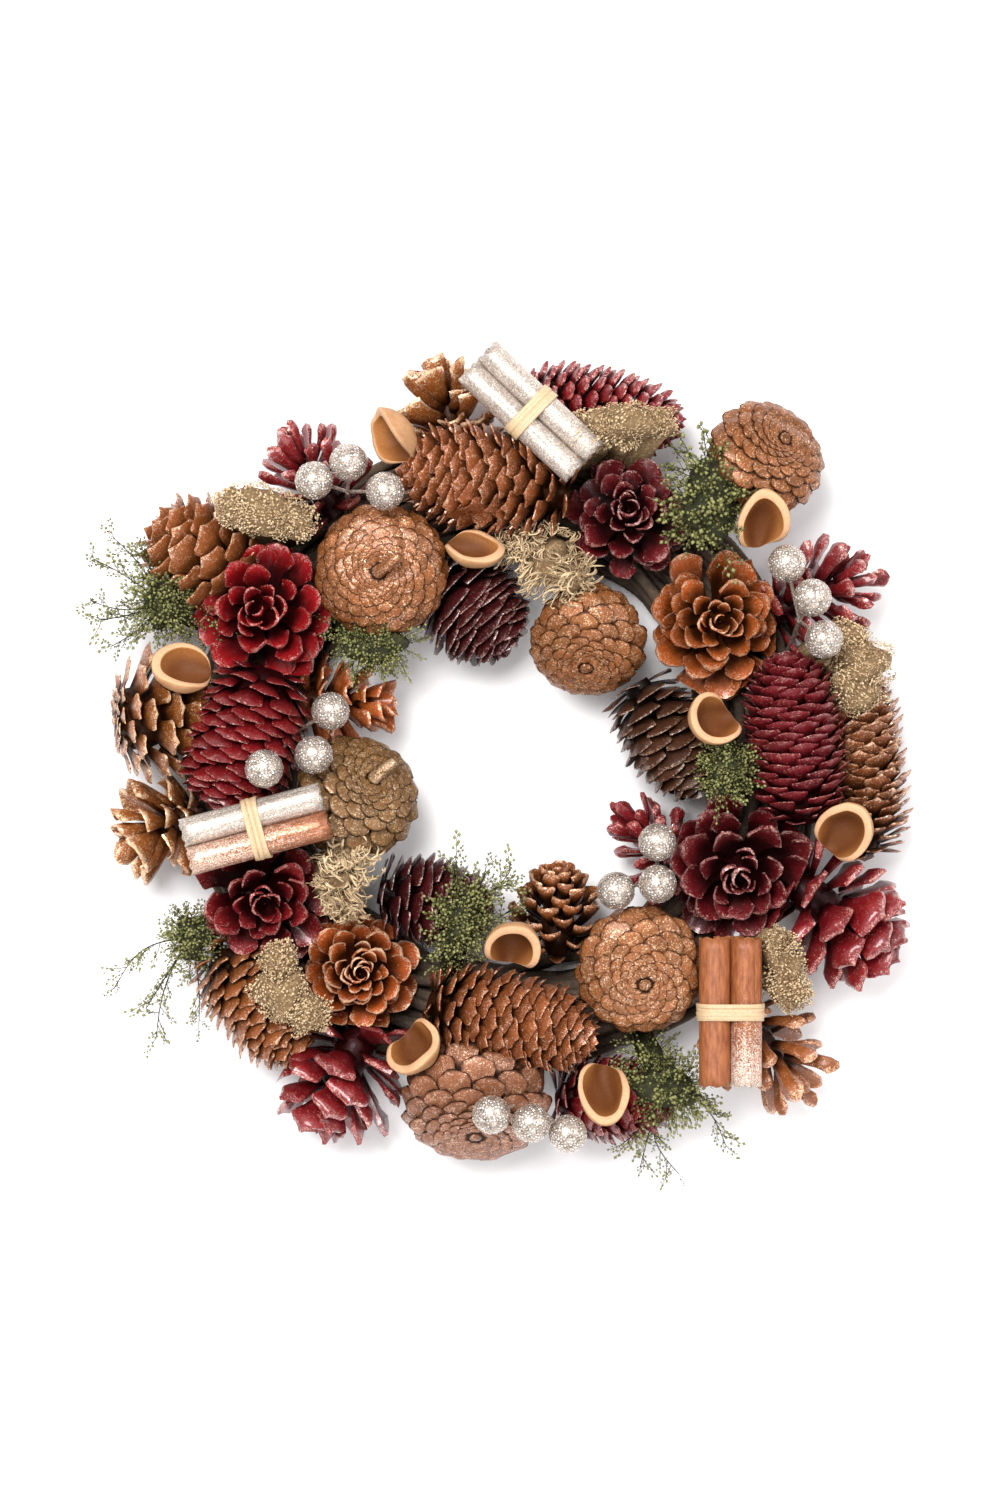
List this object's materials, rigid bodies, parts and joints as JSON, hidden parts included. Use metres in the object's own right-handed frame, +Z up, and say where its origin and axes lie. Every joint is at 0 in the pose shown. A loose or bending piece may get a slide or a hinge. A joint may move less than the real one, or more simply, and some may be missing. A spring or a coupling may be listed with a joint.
{
  "type": "pinecone wreath",
  "caption": "Round wreath of dyed, gilded and natural pine cones with seed pods, cinnamon bundles, glitter balls, lichen and green moss on a flat-backed ring of bundled vine",
  "frame": {"origin": "middle of the wreath, on the surface that its flat back lies on", "axes": "+Z up, out of the decorated face; +Y towards the top of the wreath; +X to the right of someone looking at its face"},
  "size_m": [0.3688, 0.3691, 0.0844],
  "materials": {
    "crimson": "dyed crimson, satin, frosted scale tips",
    "maroon": "dyed maroon, satin, frosted scale tips",
    "dark_red": "dyed dark red, satin, frosted scale tips",
    "orange_brown": "varnished orange brown, pale scale tips",
    "toffee": "varnished toffee brown, pale scale tips",
    "copper": "brushed with copper paint",
    "light_copper": "brushed with light copper paint",
    "gold_tan": "brushed with gold paint",
    "olive_gold": "brushed with olive gold paint",
    "pink_tan": "brushed with pinkish gold paint",
    "brown": "natural brown",
    "dark_brown": "natural dark brown, pale scale tips",
    "pod_tan": "dry matt shell, brown inside",
    "glitter_silver": "covered with champagne silver glitter",
    "cinnamon": "natural cinnamon bark",
    "cinnamon_silver": "bark brushed with champagne silver paint",
    "cinnamon_rose": "bark brushed with rose gold paint",
    "raffia": "dry natural raffia",
    "moss_green": "dried green moss, matt",
    "vine": "bundled grey brown vine, with pale lichen cushions"
  },
  "bodies": {
    "root": {"rosette_cone_1": "maroon", "rosette_cone_2": "orange_brown", "rosette_cone_3": "maroon", "rosette_cone_4": "toffee", "rosette_cone_5": "dark_red", "rosette_cone_6": "crimson", "shield_cone_1": "copper", "shield_cone_2": "gold_tan", "shield_cone_3": "gold_tan", "shield_cone_4": "pink_tan", "shield_cone_5": "olive_gold", "shield_cone_6": "copper", "long_cone_1": "dark_red", "long_cone_2": "copper", "long_cone_3": "crimson", "long_cone_4": "light_copper", "long_cone_5": "dark_red", "long_cone_6": "copper", "long_cone_7": "brown", "long_cone_8": "crimson", "finger_cone_1": "copper", "finger_cone_2": "dark_red", "finger_cone_3": "dark_brown", "finger_cone_4": "dark_red", "finger_cone_5": "dark_red", "finger_cone_6": "brown", "finger_cone_7": "brown", "finger_cone_8": "dark_red", "finger_cone_9": "dark_red", "finger_cone_10": "brown", "finger_cone_11": "light_copper", "finger_cone_12": "gold_tan", "finger_cone_13": "brown", "finger_cone_14": "dark_red", "finger_cone_15": "dark_red", "seed_pod_1": "pod_tan", "seed_pod_2": "pod_tan", "seed_pod_3": "pod_tan", "seed_pod_4": "pod_tan", "seed_pod_5": "pod_tan", "seed_pod_6": "pod_tan", "seed_pod_7": "pod_tan", "seed_pod_8": "pod_tan", "seed_pod_9": "pod_tan", "glitter_ball_pick_1": "glitter_silver", "glitter_ball_pick_2": "glitter_silver", "glitter_ball_pick_3": "glitter_silver", "glitter_ball_pick_4": "glitter_silver", "glitter_ball_pick_5": "glitter_silver", "moss_spray_1": "moss_green", "moss_spray_2": "moss_green", "moss_spray_3": "moss_green", "moss_spray_4": "moss_green", "cinnamon_bundle_top": "cinnamon_silver", "raffia_tie_top": "raffia", "cinnamon_bundle_right": "cinnamon", "raffia_tie_right": "raffia", "cinnamon_bundle_left": "cinnamon_rose", "raffia_tie_left": "raffia", "vine_ring": "vine"}
  },
  "joints": []
}
